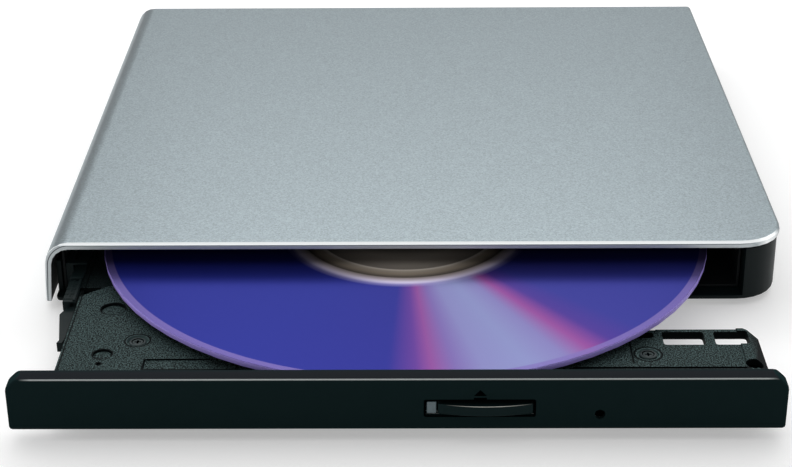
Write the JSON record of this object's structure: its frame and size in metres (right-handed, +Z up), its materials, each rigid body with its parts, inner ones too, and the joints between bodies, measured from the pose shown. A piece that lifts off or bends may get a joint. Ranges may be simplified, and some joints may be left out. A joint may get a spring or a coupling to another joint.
{
  "type": "external dvd drive",
  "caption": "Slim external disc drive: silver rolled top cover on a black case, with a sliding tray, drawer front, eject button, disc, pickup and rear USB socket.",
  "frame": {"origin": "middle of the footprint, tray part open, on the surface that the feet stand on", "axes": "+Z up, +Y to the back where the socket is, -Y the way the tray comes out"},
  "size_m": [0.144, 0.187, 0.014],
  "materials": {
    "silver_lacquer": "satin metallic lacquer with a fine grain",
    "black_plastic": "fine satin",
    "rail_plastic": "smooth satin",
    "tray_plastic": "fine spark-eroded texture",
    "rubber": "matt",
    "sheet_metal": "zinc-plated sheet",
    "bright_steel": "ground",
    "dark_screw": "dark satin",
    "pale_plastic": "satin",
    "circuit_board": "solder mask",
    "chip_plastic": "matt",
    "flat_cable": "smooth film",
    "indicator_plastic": "frosted",
    "disc_plastic": "mirror-smooth violet data side",
    "lens_glass": "polished"
  },
  "bodies": {
    "case": {"top_cover": "silver_lacquer", "bottom_case": "black_plastic", "foot_front_left": "rubber", "foot_front_right": "rubber", "foot_rear_left": "rubber", "foot_rear_right": "rubber", "case_screw_front_right": "bright_steel", "case_screw_rear_right": "bright_steel", "case_screw_rear_left": "bright_steel", "drive_chassis": "sheet_metal", "top_shield": "sheet_metal", "left_rail_guide": "pale_plastic", "right_rail_guide": "pale_plastic", "lock_post": "bright_steel", "rear_board": "circuit_board", "rear_cable_connector": "pale_plastic", "bridge_chip": "chip_plastic", "usb_socket": "bright_steel", "usb_tongue": "chip_plastic", "flex_cable": "flat_cable"},
    "tray": {"tray": "tray_plastic", "tray_bottom_cover": "sheet_metal", "tray_screw_left": "dark_screw", "tray_screw_right": "dark_screw", "bezel": "black_plastic", "indicator_window": "indicator_plastic", "front_board": "circuit_board", "eject_switch": "chip_plastic", "main_board": "circuit_board", "main_chip": "chip_plastic", "memory_chip": "chip_plastic", "tray_cable_connector": "pale_plastic", "lock_solenoid": "bright_steel", "traverse_base": "sheet_metal", "damper_bush_1": "rubber", "damper_bush_2": "rubber", "damper_bush_3": "rubber", "spindle_motor": "sheet_metal", "guide_rod_left": "bright_steel", "guide_rod_right": "bright_steel", "sled_motor": "bright_steel"},
    "left_rail": {"left_rail": "rail_plastic"},
    "right_rail": {"right_rail": "rail_plastic"},
    "eject_button": {"eject_button": "black_plastic"},
    "spindle": {"turntable": "sheet_metal", "spindle_hub": "chip_plastic", "turntable_ring": "rubber", "disc": "disc_plastic"},
    "sled": {"pickup_body": "dark_screw", "pickup_cover": "sheet_metal", "sled_nut": "pale_plastic"},
    "lens": {"lens_holder": "chip_plastic", "objective_lens": "lens_glass"},
    "lead_screw": {"lead_screw": "bright_steel"},
    "lock_lever": {"lock_lever": "bright_steel"}
  },
  "joints": [
    {"name": "tray_slide", "type": "slide", "parent": "case", "child": "tray", "axis": [0, -1, 0], "range_m": [-0.0484, 0.0764], "deforming": ["flex_cable"]},
    {"name": "left_rail_slide", "type": "slide", "parent": "case", "child": "left_rail", "axis": [0, -1, 0], "range_m": [-0.03001, 0.04737]},
    {"name": "right_rail_slide", "type": "slide", "parent": "case", "child": "right_rail", "axis": [0, -1, 0], "range_m": [-0.03001, 0.04737]},
    {"name": "eject_button_press", "type": "slide", "parent": "tray", "child": "eject_button", "axis": [0, 1, 0], "range_m": [0, 0.0006], "stiffness_N_per_m": 500},
    {"name": "spindle_spin", "type": "hinge", "parent": "tray", "child": "spindle", "pos_m": [-0.0015, -0.02865, 0.008], "axis": [0, 0, 1], "continuous": true},
    {"name": "sled_slide", "type": "slide", "parent": "tray", "child": "sled", "axis": [-0.7071, 0.7071, 0], "range_m": [0, 0.032]},
    {"name": "lens_focus", "type": "slide", "parent": "sled", "child": "lens", "axis": [0, 0, 1], "range_m": [-0.00025, 0.00025], "stiffness_N_per_m": 200},
    {"name": "lead_screw_spin", "type": "hinge", "parent": "tray", "child": "lead_screw", "pos_m": [0.01293, -0.01422, 0.0065], "axis": [-0.7071, 0.7071, 0], "continuous": true},
    {"name": "lock_lever_swing", "type": "hinge", "parent": "tray", "child": "lock_lever", "pos_m": [0.05, -0.08445, 0.0045], "axis": [0, 0, 1], "range_deg": [0, 14]}
  ],
  "couplings": [
    {"joint": "left_rail_slide", "follows": "tray_slide", "ratio": 0.62},
    {"joint": "right_rail_slide", "follows": "tray_slide", "ratio": 0.62},
    {"joint": "lead_screw_spin", "follows": "sled_slide", "rad_per_m": 2094.4}
  ]
}
